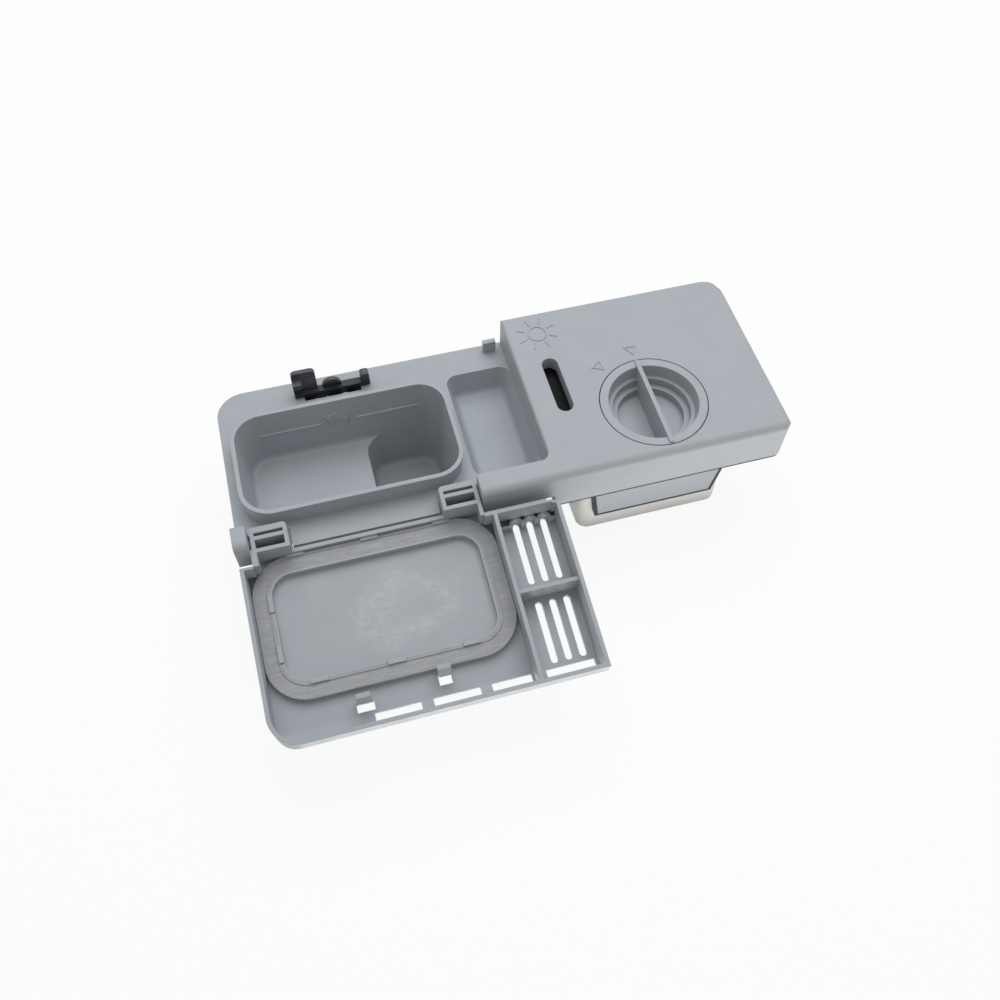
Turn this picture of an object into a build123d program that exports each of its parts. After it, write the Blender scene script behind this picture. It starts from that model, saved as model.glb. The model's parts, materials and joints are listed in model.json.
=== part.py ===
"""Dishwasher detergent dispenser: door insert with a detergent cup, a hinged lid and a rinse-aid tank.

Sizes are millimetres. The shapes are drawn in the face frame: x from the left edge, y from the front
(hinge) edge towards the back edge, z up from the plate's face. Every piece is then moved so that the
origin is the centre of the flange's rear seat. The lid is drawn closed and exported fully open.
"""
from build123d import *
from math import hypot, sqrt
import os

# Face plate and flange
LENGTH = 230.0
WIDTH = 86.8
FLANGE_H = 5.2
PLATE_T = 2.2
SKIRT_T = 2.2
CORNER_R = 12.0
PLATE_FRONT_Y = 5.2
BACK_TAB_X = (119.6, 125.2)
BACK_TAB_INSET = 2.2
BACK_TAB_T = 2.2
BACK_TAB_H = 6.0

# Rinse-aid block
BLOCK_X = 128.2
BLOCK_H = 15.3
BLOCK_WALL = 2.2
BLOCK_EDGE_R = 1.2
FRONT_EDGE_R = 3.0
FRONT_CORNER_R = 3.2

# Hinge of the lid
HINGE_Y = 6.0
HINGE_Z = 5.2
OPEN_DEG = 189.2
HINGE_PIN_R = 2.4
HINGE_PIN_GAP = 0.08
HINGE_PIN_L = 3.4
EAR_W = 5.6
EAR_Y = 9.6
CHEEK_LOW_Z = 1.5
CHEEK_SLOPE_Z = 8.0
TONGUE_X = 97.6
TONGUE_CORNER_R = 3.5
SWING_GAP = 0.5

# Detergent cup
CUP_X = (4.6, 96.7)
CUP_FRONT_Y = 16.0
CUP_BACK_INSET = 20.2
CUP_R = 13.0
CUP_WALL = 1.8
CUP_RIM_Z = 9.6
CUP_DRAFT = 5.0
CUP_FLOOR_T = 2.0
SHALLOW_DEPTH = 18.0
PIT_X = 57.1
PIT_DEPTH = 39.0
CUP_FLOOR_R = 2.6

# Prewash recess
RECESS_X = 99.4
RECESS_FRONT_Y = 18.2
RECESS_BACK_INSET = 13.8
RECESS_DEPTH = 11.0
RECESS_R = 5.0
RECESS_DRAFT = 18.0
RECESS_WALL = 2.0
RECESS_FLOOR_R = 3.0

# Filler opening and cap
CAP_X = 178.5
CAP_Y = 26.6
CAP_R = 22.5
CAP_GAP = 0.45
CAP_FLANGE_T = 2.6
CAP_MOUTH_R = 19.0
CAP_DEPTH = 13.0
CAP_SKIN = 1.6
CAP_STEP_R = (16.6, 14.2)
CAP_STEP_H = 3.6
CAP_BLADE_T = 1.9
CAP_BLADE_RISE = 0.8
CAP_TURN_DEG = 36.0
CAP_SKIRT_R = 19.6
NECK_GAP = 0.4
NECK_WALL = 1.8
NECK_Z = 4.6
LUG_H = 2.2
LUG_REACH = 1.3
LUG_ARC_W = 9.0
LUG_ROOT = 1.0
CAP_BOWL_DRAFT = 0.8
CAP_BLADE_INSET = 0.4
CAP_SEAL_INSET = 0.2
CAP_SEAL_T = 1.0
SEAL_GAP = 0.08

# Level window
WINDOW_X = 142.1
WINDOW_Y = 45.2
WINDOW_L = 29.0
WINDOW_W = 7.0
WINDOW_WALL = 1.4
WINDOW_T = 1.6
WINDOW_DEPTH = 6.3

# Rinse-aid tank, its apron and seals
TANK_X = (143.5, 209.5)
TANK_FRONT_Y = 6.2
TANK_BACK_INSET = 6.8
TANK_Z = -41.0
TANK_RIM_Z = (-2.6, -0.4)
TANK_GAP = 0.1
LEDGE_W = 1.4
TANK_WALL = 2.0
TANK_R = 5.0
APRON_X = (147.0, 204.6)
APRON_TAPER = 3.2
APRON_Z = -25.5
APRON_Y = 2.8
APRON_T = 2.2
APRON_SEAL_W = 1.4
FRONT_RIB_X = (98.0, 128.0)
FRONT_RIB_Y = (9.0, 10.8)
FRONT_RIB_Z = -16.0
DOOR_SEAL_W = 2.0
DOOR_SEAL_T = 1.4
DOOR_SEAL_INSET = 0.3
NOTCH_Y = 13.4

# Lid
LID_GAP = 0.5
LID_RIM_Z = 0.4
LID_WALL = 1.6
LID_PANEL_T = 2.0
LID_FAR_R = 8.0
LID_FAR_WALL = 1.6
DIVIDER_X = 100.4
RAIL_Y = 9.4
RAIL_RIM_Z = 8.2
SHOULDER_Y = 15.6
SHOULDER_T = 0.9
WING_Y = 11.8
PAN_CORNER_R = 4.0
KNUCKLE_L = (6.4, 20.9)
KNUCKLE_R = (81.8, 97.0)
KNUCKLE_FRONT = 0.5
KNUCKLE_EDGE_R = 6.0
KNUCKLE_FRONT_T = 2.4
KNUCKLE_SLIT = 1.3
KNUCKLE_BAR_T = 1.6
KNUCKLE_CORNER_R = 1.6
KNUCKLE_GAP = 0.5
MID_RIB_Y = 50.0
MID_RIB_H = 11.0
VENT_X = (109.9, 115.7, 121.5)
VENT_FRONT_Y = 18.2
VENT_MID_Y = (44.9, 52.6)
VENT_BACK_INSET = 9.0
VENT_W = 2.9
WAVE_Y = 20.0
WAVE_R = 2.0
WAVE_T = 0.9
WAVE_H = 4.3
FAR_SLOTS = ((38.6, 56.4), (61.0, 79.4), (83.8, 99.6), (105.4, 125.0))
FAR_SLOT_INSET = (7.2, 1.9)

# Lid gasket
GASKET_GAP = 0.2
GASKET_BACK_INSET = 17.4
GASKET_W = 6.6
GASKET_R = 16.0
GASKET_T = 3.2
GASKET_LIP = 0.3
GASKET_LIP_W = 1.2
KEEPER_T = 0.9
GASKET_TAB_T = 0.7
GASKET_TAB_GAP = 0.1
GASKET_TAB_REACH = 1.0
GASKET_TAB_L = 7.0
GASKET_TABS_X = (21.4, 51.0, 80.4)
GASKET_TABS_Y = (29.5, 49.8)

# Latch, with its released pose drawn
LATCH_INSET = 7.9
LATCH_Z = -6.5
LATCH_PIN_R = 1.5
LATCH_PIN_GAP = 0.06
LATCH_HUB_R = 3.3
LATCH_ARM_X = (43.5, 47.5)
LATCH_ARM_T = 3.4
LATCH_BAR_X = (34.0, 67.0)
LATCH_BAR_Z = (0.8, 2.8)
LATCH_BODY_X = (38.4, 57.4)
LATCH_BODY_Z = -1.8
LATCH_BODY_SLANT = 5.4
LATCH_PADDLE_X = (34.0, 44.4)
LATCH_PADDLE_Z = 12.3
LATCH_PADDLE_T = 2.0
LATCH_PADDLE_LEAN = 2.3
LATCH_PADDLE_KNEE = 9.0
LATCH_PADDLE_R = 2.2
LATCH_NOSE_W = 4.0
LATCH_NOSE_H = 2.4
LATCH_FINGER_W = 3.8
LATCH_FINGER_Z = 8.0
LATCH_FINGER_R = 1.2
LATCH_BUMP_X = 50.6
LATCH_BUMP_R = 4.1
LATCH_BUMP_T = 1.8
LATCH_FOOT_X = (42.0, 55.0)
LATCH_FOOT_Z = (-33.5, -28.0)
LATCH_FIT = 0.5
CHEEK_T = 3.0
CHEEK_GAP = 0.5
CHEEK_REACH = 2.0
SLOT_ROOM = 1.6
SPRING_WIRE_R = 0.4
SPRING_GAP = 0.3
SPRING_L = 3.0
SPRING_PITCH = 1.0
HOOK_X = (33.2, 38.6)
HOOK_T = 1.8
HOOK_LIP = 1.8
HOOK_LIP_Z = (3.4, 5.6)
HOOK_LIP_EDGE = 0.8
HOOK_GAP = 0.4
HOOK_LIFT = 0.8
HOOK_HOLE_ROOM = 1.4
STRIKER_X = (64.7, 69.8)
STRIKER_INSET = 16.8
STRIKER_LIP = 2.4

# Release solenoid behind the shallow half of the cup
COIL_X = 45.5
COIL_Z = -31.0
COIL_R = 8.6
COIL_Y = (27.5, 57.5)
BOBBIN_R = 4.4
BOBBIN_BORE_R = 3.2
BOBBIN_FLANGE_T = 1.4
BOBBIN_FLANGE_R = 9.0
YOKE_T = 1.5
YOKE_X = 35.0
YOKE_TOP_Z = -21.0
YOKE_LOW_Z = -40.4
YOKE_EAR_X = 24.0
YOKE_BOSS_H = 5.5
YOKE_BOSS_R = 3.6
YOKE_SCREW_X = 29.0
YOKE_SCREW_Y = (32.0, 53.0)
SCREW_R = 1.5
SCREW_HEAD_R = 2.8
SCREW_HEAD_H = 2.0
SCREW_L = 6.0
SCREW_HOLE_GAP = 0.2
SCREW_SLOT_W = 1.0
ARMATURE_R = 3.15
ARMATURE_Y = (30.0, 50.0)
ROD_R = 1.6
ROD_GAP = 0.3
ROD_HEAD_R = 2.8
ROD_HEAD_T = 1.6
ROD_HEAD_GAP = 0.6
SPADE_L = 7.0
SPADE_W = 4.0
SPADE_T = 0.8
SPADE_TIP = 0.6
SPADE_TIP_L = 1.2
SPADE_PITCH = 6.6
SPADE_DROP = 6.6
SPADE_SLOT_GAP = 0.5

# Dosing linkage and valve
LEVER_X = 96.0
LEVER_INSET = 1.9
LEVER_Z = -33.0
LEVER_T = 3.0
LEVER_HUB_R = 4.5
LEVER_BAR_W = 4.6
LEVER_PIN_R = 2.0
LEVER_PIN_GAP = 0.06
LEVER_HEAD_R = 3.6
LEVER_HEAD_H = 1.6
LEVER_BOSS_R = 4.6
LEVER_PIN_TOP = 6.0
LEVER_TIP_X = (50.2, 54.6)
LEVER_TIP_W = 2.6
VALVE_X = 125.6
VALVE_INSET = 8.0
VALVE_L = 15.0
VALVE_LIFT = 5.6
VALVE_STEM_L = 9.0
VALVE_SPRING_PITCH = 1.6
VALVE_BODY_R = 5.2
VALVE_STEM_R = 2.0
VALVE_GAP = 0.06
VALVE_HEAD_R = 4.0
VALVE_HEAD_T = 1.4
VALVE_SEAL_R = 3.6
VALVE_SEAL_T = 1.8
VALVE_SPRING_GAP = 0.5

OUT = "parts"
HINGE = Axis((0, HINGE_Y, HINGE_Z), (1, 0, 0))
TO_SEAT = Pos(-LENGTH / 2, -WIDTH / 2, FLANGE_H)
LID_IN_Z = BLOCK_H - LID_PANEL_T
GASKET_Z = LID_IN_Z - GASKET_T
CUP_Y = (CUP_FRONT_Y, WIDTH - CUP_BACK_INSET)
TANK_Y = (TANK_FRONT_Y, WIDTH - TANK_BACK_INSET)
VENT_ROWS = ((VENT_FRONT_Y, VENT_MID_Y[0]), (VENT_MID_Y[1], WIDTH - VENT_BACK_INSET))
GASKET_Y = (RAIL_Y + LID_WALL + GASKET_GAP, WIDTH - GASKET_BACK_INSET)
LID_X1 = BLOCK_X - LID_GAP
GASKET_X = (LID_GAP + LID_WALL + GASKET_GAP, DIVIDER_X - GASKET_GAP)
CUP_IN_X = (CUP_X[0] + CUP_WALL, CUP_X[1] - CUP_WALL)
CUP_IN_Y = (CUP_Y[0] + CUP_WALL, CUP_Y[1] - CUP_WALL)
CAP_UNDER_Z = BLOCK_H - CAP_FLANGE_T
LEDGE_Z = CAP_UNDER_Z - CAP_SEAL_T - SEAL_GAP
BLOCK_CEIL_Z = BLOCK_H - BLOCK_WALL
BLOCK_ROOT_Z = BLOCK_CEIL_Z + BLOCK_WALL / 2
NECK_IN_R = CAP_SKIRT_R + NECK_GAP
SHALLOW_UNDER_Z = -SHALLOW_DEPTH - CUP_FLOOR_T
LATCH_Y = WIDTH - LATCH_INSET
LATCH_BACK_Y = LATCH_Y + LATCH_ARM_T / 2
LATCH_FRONT_Y = LATCH_Y - LATCH_ARM_T / 2
LATCH_NOSE_Z = HOOK_LIP_Z[1] + HOOK_LIFT
HOOK_LIP_Y = LATCH_FRONT_Y - HOOK_GAP
STRIKER_Y = WIDTH - STRIKER_INSET
LEVER_Y = LATCH_Y - LEVER_INSET
VALVE_Y = (LEVER_Y - VALVE_INSET - VALVE_L, LEVER_Y - VALVE_INSET)


def box(x, y, z):
    """Box between two limits on each axis."""
    middle = Pos((x[0] + x[1]) / 2, (y[0] + y[1]) / 2, (z[0] + z[1]) / 2)
    return middle * Box(x[1] - x[0], y[1] - y[0], z[1] - z[0])


def rounded(x, y, r):
    """Rounded rectangle between two limits on each axis."""
    return Pos((x[0] + x[1]) / 2, (y[0] + y[1]) / 2) * RectangleRounded(x[1] - x[0], y[1] - y[0], r)


def slice_of(points, radii=()):
    """Flat polygon, with a radius at each point named in radii."""
    face = Polygon(*points, align=None)
    for point, r in radii:
        face = fillet(face.vertices().sort_by_distance((point[0], point[1], 0))[0], r)
    return face


def upright(face, z):
    """Extrude a plan between two heights."""
    return extrude(Pos(0, 0, z[0]) * face, z[1] - z[0], dir=(0, 0, 1))


def along_x(face, x):
    """Extrude a side profile, drawn as (y, z), between two lengths."""
    return extrude(Plane.YZ.offset(x[0]) * face, x[1] - x[0], dir=(1, 0, 0))


def along_y(face, y):
    """Extrude a front profile, drawn as (x, z), between two depths."""
    return extrude(Plane.XZ.offset(-y[1]) * face, y[1] - y[0], dir=(0, -1, 0))


def rod_x(r, x, y, z):
    return along_x(Pos(y, z) * Circle(r), x)


def rod_y(r, x, y, z):
    return along_y(Pos(x, z) * Circle(r), y)


def rod_z(r, x, y, z):
    return upright(Pos(x, y) * Circle(r), z)


def ring_z(r_out, r_in, x, y, z):
    return upright(Pos(x, y) * (Circle(r_out) - Circle(r_in)), z)


def down(face, z, depth, draft):
    """Drafted solid that narrows as it goes down."""
    return extrude(Pos(0, 0, z) * face, depth, dir=(0, 0, -1), taper=draft)


def coil(r, length, pitch):
    """Round wire spring along z, from z = 0."""
    path = Helix(pitch, length, r)
    section = Plane(path @ 0, z_dir=path % 0) * Circle(SPRING_WIRE_R)
    return sweep(section, path)


# Housing

def hinge_cheek_profile():
    """Side of the ear and of the block's tongue: round front edge, back sloping onto the plate."""
    points = [(0, CHEEK_LOW_Z), (0, BLOCK_H), (EAR_Y, BLOCK_H), (EAR_Y, CHEEK_SLOPE_Z), (NOTCH_Y, 0),
              (PLATE_FRONT_Y, 0)]
    return slice_of(points, [((0, BLOCK_H), FRONT_EDGE_R)])


def tongue_corner():
    """Round inside corner between the tongue's back and the block's side."""
    x = BLOCK_X - TONGUE_CORNER_R
    y = EAR_Y + TONGUE_CORNER_R
    corner = box((x, BLOCK_X + BLOCK_EDGE_R), (EAR_Y, y), (0, BLOCK_H))
    return corner - rod_z(TONGUE_CORNER_R, x, y, (0, BLOCK_H))


def plate():
    points = [(0, PLATE_FRONT_Y), (BLOCK_X, PLATE_FRONT_Y), (BLOCK_X, 0), (LENGTH, 0), (LENGTH, WIDTH),
              (0, WIDTH)]
    radii = [((0, WIDTH), CORNER_R), ((LENGTH, WIDTH), CORNER_R), ((LENGTH, 0), FRONT_CORNER_R)]
    body = upright(slice_of(points, radii), (-FLANGE_H, 0))
    inner_y = (NOTCH_Y + SKIRT_T, WIDTH - SKIRT_T)
    body -= upright(rounded((SKIRT_T, BLOCK_X), inner_y, CORNER_R - SKIRT_T), (-FLANGE_H, -PLATE_T))
    for x in ((EAR_W, KNUCKLE_L[1] + KNUCKLE_GAP), (KNUCKLE_R[0] - KNUCKLE_GAP, TONGUE_X)):
        body -= box(x, (0, NOTCH_Y), (-FLANGE_H, 0))
    return body


def block():
    """Block with its plan's corners, and its top edges rounded by bars less rods."""
    plan = slice_of([(BLOCK_X, 0), (LENGTH, 0), (LENGTH, WIDTH), (BLOCK_X, WIDTH)],
                    [((LENGTH, WIDTH), CORNER_R), ((LENGTH, 0), FRONT_CORNER_R),
                     ((BLOCK_X, WIDTH), BLOCK_EDGE_R)])
    body = upright(plan, (-FLANGE_H, BLOCK_H))
    all_x = (BLOCK_X - BLOCK_WALL, LENGTH + BLOCK_WALL)
    all_y = (-BLOCK_WALL, WIDTH + BLOCK_WALL)
    top = BLOCK_H + BLOCK_WALL
    for r, y, inner_y in ((FRONT_EDGE_R, all_y[0], FRONT_EDGE_R), (BLOCK_WALL, all_y[1], WIDTH - BLOCK_WALL)):
        bar = box(all_x, (min(y, inner_y), max(y, inner_y)), (BLOCK_H - r, top))
        body -= bar - rod_x(r, all_x, inner_y, BLOCK_H - r)
    r = BLOCK_EDGE_R
    for x, inner_x in ((all_x[0], BLOCK_X + r), (all_x[1], LENGTH - r)):
        bar = box((min(x, inner_x), max(x, inner_x)), all_y, (BLOCK_H - r, top))
        body -= bar - rod_y(r, inner_x, all_y, BLOCK_H - r)
    return body


def block_hollow():
    hollow = upright(block_inner(0), (-FLANGE_H, BLOCK_CEIL_Z))
    ledge = block_inner(0) - block_inner(LEDGE_W)
    return hollow - upright(ledge, (TANK_RIM_Z[1], TANK_RIM_Z[1] + LEDGE_W))


def cup_outside():
    shallow = down(rounded(CUP_X, CUP_Y, CUP_R), CUP_RIM_Z, CUP_RIM_Z - SHALLOW_UNDER_Z, CUP_DRAFT)
    pit_x = (PIT_X - CUP_WALL, CUP_X[1])
    pit = down(rounded(pit_x, CUP_Y, CUP_R), CUP_RIM_Z, CUP_RIM_Z + PIT_DEPTH + CUP_FLOOR_T, CUP_DRAFT)
    return shallow + pit


def round_floor(body, r):
    """Round the edge between a hollow's floor and its walls."""
    return fillet(body.faces().sort_by(Axis.Z)[0].edges(), r)


def cup_inside():
    r = CUP_R - CUP_WALL
    shallow = down(rounded(CUP_IN_X, CUP_IN_Y, r), CUP_RIM_Z, CUP_RIM_Z + SHALLOW_DEPTH, CUP_DRAFT)
    pit = down(rounded((PIT_X, CUP_IN_X[1]), CUP_IN_Y, r), CUP_RIM_Z, CUP_RIM_Z + PIT_DEPTH, CUP_DRAFT)
    return round_floor(shallow, CUP_FLOOR_R) + round_floor(pit, CUP_FLOOR_R)


def recess(grow):
    """Prewash hollow beside the block, grown by a wall for its outside."""
    x = (RECESS_X - grow, BLOCK_X + grow)
    y = (RECESS_FRONT_Y - grow, WIDTH - RECESS_BACK_INSET + grow)
    return down(rounded(x, y, RECESS_R + grow), 0, RECESS_DEPTH + grow, RECESS_DRAFT)


def filler_neck():
    neck = ring_z(NECK_IN_R + NECK_WALL, NECK_IN_R, CAP_X, CAP_Y, (NECK_Z, BLOCK_ROOT_Z))
    seat = ring_z(CAP_R + CAP_GAP + NECK_WALL, NECK_IN_R, CAP_X, CAP_Y, (LEDGE_Z - BLOCK_WALL, BLOCK_ROOT_Z))
    return neck + seat


def filler_bore():
    bore = rod_z(CAP_R + CAP_GAP, CAP_X, CAP_Y, (LEDGE_Z, BLOCK_H))
    bore += rod_z(NECK_IN_R, CAP_X, CAP_Y, (NECK_Z - LUG_H, BLOCK_H))
    notch = Box(2 * (NECK_IN_R + LUG_REACH), LUG_ARC_W + 2 * NECK_GAP, LEDGE_Z - NECK_Z)
    return bore + Pos(CAP_X, CAP_Y, (LEDGE_Z + NECK_Z) / 2) * Rot(0, 0, CAP_TURN_DEG) * notch


def latch_bearing():
    """Two cheeks under the plate that hold the latch pin, with the slot for the lever over them."""
    inner = (LATCH_ARM_X[0] - CHEEK_GAP, LATCH_ARM_X[1] + SPRING_L + 2 * CHEEK_GAP)
    y = (LATCH_Y - LATCH_HUB_R - CHEEK_REACH, LATCH_Y + LATCH_HUB_R + CHEEK_REACH)
    cheeks = box((inner[0] - CHEEK_T, inner[1] + CHEEK_T), y, (LATCH_Z - LATCH_HUB_R, -PLATE_T))
    cheeks -= box(inner, y, (LATCH_Z - LATCH_HUB_R, -PLATE_T))
    slot_x = (LATCH_BODY_X[0] - CHEEK_GAP, LATCH_BODY_X[1] + LATCH_BODY_SLANT)
    slot_y = (LATCH_FRONT_Y - SLOT_ROOM, LATCH_BACK_Y + CHEEK_GAP)
    slot = box(slot_x, slot_y, (-PLATE_T - CHEEK_GAP, 0))
    pin_hole = rod_x(LATCH_PIN_R, (inner[0] - CHEEK_T, inner[1] + CHEEK_T), LATCH_Y, LATCH_Z)
    return cheeks, slot + pin_hole


def window_plan(grow):
    return Pos(WINDOW_X, WINDOW_Y) * Rot(0, 0, 90) * SlotOverall(WINDOW_L + 2 * grow, WINDOW_W + 2 * grow)


def apron_profile(grow):
    x0 = APRON_X[0] - grow
    x1 = APRON_X[1] + grow
    z = APRON_Z - grow
    return slice_of([(x0, -FLANGE_H), (x1, -FLANGE_H), (x1 - APRON_TAPER, z), (x0 + APRON_TAPER, z)])


def housing():
    cheeks, slot = latch_bearing()
    body = plate() + block() - block_hollow()
    body += along_x(hinge_cheek_profile(), (0, EAR_W))
    body += along_x(hinge_cheek_profile(), (TONGUE_X, BLOCK_X + BLOCK_WALL)) + tongue_corner()
    body += cup_outside() + (recess(RECESS_WALL) & box((0, BLOCK_X), (0, WIDTH), (TANK_Z, 0))) + cheeks
    body += filler_neck() + upright(window_plan(WINDOW_WALL), (BLOCK_H - WINDOW_DEPTH, BLOCK_ROOT_Z))
    body += rod_z(LEVER_BOSS_R, LEVER_X, LEVER_Y, (LEVER_Z + LEVER_T / 2 + SEAL_GAP, -PLATE_T))
    for y in YOKE_SCREW_Y:
        body += rod_z(YOKE_BOSS_R, YOKE_SCREW_X, y, (SHALLOW_UNDER_Z - YOKE_BOSS_H, SHALLOW_UNDER_Z))
        body -= rod_z(SCREW_R, YOKE_SCREW_X, y, (SHALLOW_UNDER_Z - YOKE_BOSS_H, SHALLOW_UNDER_Z))
    body += along_y(apron_profile(0), (APRON_Y, APRON_Y + APRON_T))
    body += box(FRONT_RIB_X, FRONT_RIB_Y, (FRONT_RIB_Z, -PLATE_T / 2))
    body += box((APRON_X[0], APRON_X[1]), (BLOCK_WALL, APRON_Y + APRON_T), (-FLANGE_H, -FLANGE_H + PLATE_T))
    tab_y = WIDTH - BACK_TAB_INSET
    body += box(BACK_TAB_X, (tab_y - BACK_TAB_T, tab_y), (-PLATE_T, BACK_TAB_H))
    body -= cup_inside() + round_floor(recess(0), RECESS_FLOOR_R) + slot + filler_bore()
    body -= rod_z(LEVER_PIN_R, LEVER_X, LEVER_Y, (LEVER_Z, -PLATE_T - LEVER_PIN_TOP))
    body -= upright(window_plan(0), (BLOCK_H - WINDOW_DEPTH, BLOCK_H))
    pin_r = HINGE_PIN_R + HINGE_PIN_GAP
    body -= rod_x(pin_r, (EAR_W - HINGE_PIN_L - HINGE_PIN_GAP, EAR_W), HINGE_Y, HINGE_Z)
    body -= rod_x(pin_r, (TONGUE_X, TONGUE_X + HINGE_PIN_L + HINGE_PIN_GAP), HINGE_Y, HINGE_Z)
    return body


def door_seal():
    points = [(0, NOTCH_Y), (BLOCK_X, NOTCH_Y), (BLOCK_X, 0), (LENGTH, 0), (LENGTH, WIDTH), (0, WIDTH)]
    radii = [((0, WIDTH), CORNER_R), ((LENGTH, WIDTH), CORNER_R), ((LENGTH, 0), FRONT_CORNER_R)]
    edge = slice_of(points, radii)
    band = offset(edge, -DOOR_SEAL_INSET) - offset(edge, -DOOR_SEAL_INSET - DOOR_SEAL_W)
    return upright(band, (-FLANGE_H - DOOR_SEAL_T, -FLANGE_H))


def block_inner(grow):
    """Plan of the block's hollow, grown inwards by a ledge or a gap."""
    x = (BLOCK_X + BLOCK_WALL + grow, LENGTH - BLOCK_WALL - grow)
    y = (BLOCK_WALL + grow, WIDTH - BLOCK_WALL - grow)
    return rounded(x, y, FRONT_CORNER_R)


def tank_shell():
    outside = upright(rounded(TANK_X, TANK_Y, TANK_R), (TANK_Z, TANK_RIM_Z[1]))
    outside += upright(block_inner(TANK_GAP), TANK_RIM_Z)
    inner_x = (TANK_X[0] + TANK_WALL, TANK_X[1] - TANK_WALL)
    inner_y = (TANK_Y[0] + TANK_WALL, TANK_Y[1] - TANK_WALL)
    body = outside - upright(rounded(inner_x, inner_y, TANK_R - TANK_WALL), (TANK_Z + TANK_WALL, TANK_RIM_Z[1]))
    body += rod_y(VALVE_BODY_R, VALVE_X, VALVE_Y, LEVER_Z)
    web_z = (LEVER_Z - TANK_WALL, LEVER_Z + TANK_WALL)
    body += box((VALVE_X, TANK_X[0] + TANK_WALL), VALVE_Y, web_z)
    body -= rod_y(VALVE_STEM_R + VALVE_GAP, VALVE_X, (VALVE_Y[0] + TANK_WALL, VALVE_Y[1]), LEVER_Z)
    body -= rod_y(VALVE_SEAL_R, VALVE_X, (VALVE_Y[1] - VALVE_SEAL_T, VALVE_Y[1]), LEVER_Z)
    return body


def apron_seal():
    strip = along_y(apron_profile(APRON_SEAL_W) - apron_profile(0), (APRON_Y, TANK_Y[0]))
    back = along_y(apron_profile(0), (APRON_Y + APRON_T, TANK_Y[0]))
    return strip + back


def level_window():
    """Lens that closes the window's well from below."""
    seat_z = BLOCK_H - WINDOW_DEPTH
    return upright(window_plan(WINDOW_WALL), (seat_z - WINDOW_T, seat_z))


# Lid, drawn closed

def swing_clear(grow):
    """Round space about the hinge that the ear and the tongue need when the lid turns."""
    top = BLOCK_H - HINGE_Z
    front = hypot(HINGE_Y - FRONT_EDGE_R, top - FRONT_EDGE_R) + FRONT_EDGE_R
    reach = max(front, hypot(EAR_Y - HINGE_Y, top)) + SWING_GAP + grow
    inner = TONGUE_CORNER_R - LID_GAP
    corner_y = EAR_Y + TONGUE_CORNER_R - sqrt(TONGUE_CORNER_R ** 2 - inner ** 2)
    corner_reach = hypot(corner_y - HINGE_Y, top) + SWING_GAP + grow
    cut = rod_x(reach, (0, EAR_W), HINGE_Y, HINGE_Z) + rod_x(reach, (KNUCKLE_R[1], LENGTH), HINGE_Y, HINGE_Z)
    return cut + rod_x(corner_reach, (BLOCK_X - TONGUE_CORNER_R, LENGTH), HINGE_Y, HINGE_Z)


def shoulder_links():
    """Walls that join the knuckles' outer sides to the round shoulders, under the gasket."""
    y = (RAIL_Y, SHOULDER_Y + SHOULDER_T)
    z = (LID_RIM_Z, GASKET_Z - GASKET_TAB_T)
    left = box((EAR_W - SHOULDER_T, KNUCKLE_L[0] + LID_WALL), y, z)
    return left + box((KNUCKLE_R[1] - LID_WALL, KNUCKLE_R[1] + SHOULDER_T), y, z)


def lid_side(inset):
    """Side profile of the lid's main part, with the round far edge."""
    y1 = WIDTH - inset
    z1 = BLOCK_H - (LID_PANEL_T if inset else 0)
    points = [(RAIL_Y, LID_RIM_Z), (RAIL_Y, z1), (y1, z1), (y1, LID_RIM_Z)]
    return slice_of(points, [((y1, z1), LID_FAR_R - inset)])


def lid_main():
    plan = slice_of([(LID_GAP, WING_Y), (KNUCKLE_L[0], WING_Y), (KNUCKLE_L[0], RAIL_Y),
                     (KNUCKLE_R[1], RAIL_Y), (KNUCKLE_R[1], WING_Y), (LID_X1, WING_Y),
                     (LID_X1, WIDTH), (LID_GAP, WIDTH)],
                    [((LID_GAP, WIDTH), CORNER_R), ((LID_X1, WING_Y), TONGUE_CORNER_R)])
    return along_x(lid_side(0), (0, LID_X1)) & upright(plan, (LID_RIM_Z, BLOCK_H))


def lid_pan():
    """Hollow over the cup, from the rail to the far wall."""
    x = (LID_GAP + LID_WALL, DIVIDER_X)
    y = (RAIL_Y + LID_WALL, WIDTH - LID_FAR_WALL)
    plan = slice_of([(x[0], y[0]), (x[1], y[0]), (x[1], y[1]), (x[0], y[1])],
                    [((x[0], y[1]), CORNER_R - LID_WALL), ((x[0], y[0]), PAN_CORNER_R),
                     ((x[1], y[0]), PAN_CORNER_R)])
    room = along_x(lid_side(LID_FAR_WALL), x) & upright(plan, (LID_RIM_Z, LID_IN_Z))
    return room - swing_clear(SHOULDER_T)


def lid_vent_room():
    """Hollow over the prewash recess, split by the mid rib."""
    x = (DIVIDER_X + LID_WALL, LID_X1 - LID_WALL)
    room = along_x(lid_side(LID_FAR_WALL), x)
    room -= swing_clear(SHOULDER_T)
    rib = box(x, (MID_RIB_Y - LID_WALL / 2, MID_RIB_Y + LID_WALL / 2), (LID_IN_Z - MID_RIB_H, LID_IN_Z))
    return room - rib - wave_rib(x)


def wave_rib(x):
    """Low wall that runs in arches round the ends of the vents at the hinge end."""
    z = (LID_IN_Z - WAVE_H, LID_IN_Z)
    wall = box(x, (WAVE_Y, WAVE_Y + WAVE_T), z)
    for vent in VENT_X:
        arch = rod_z(WAVE_R + WAVE_T, vent, WAVE_Y, z) & box(x, (0, WAVE_Y), z)
        wall += arch
    for vent in VENT_X:
        wall -= rod_z(WAVE_R, vent, WAVE_Y, z)
    return wall


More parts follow.
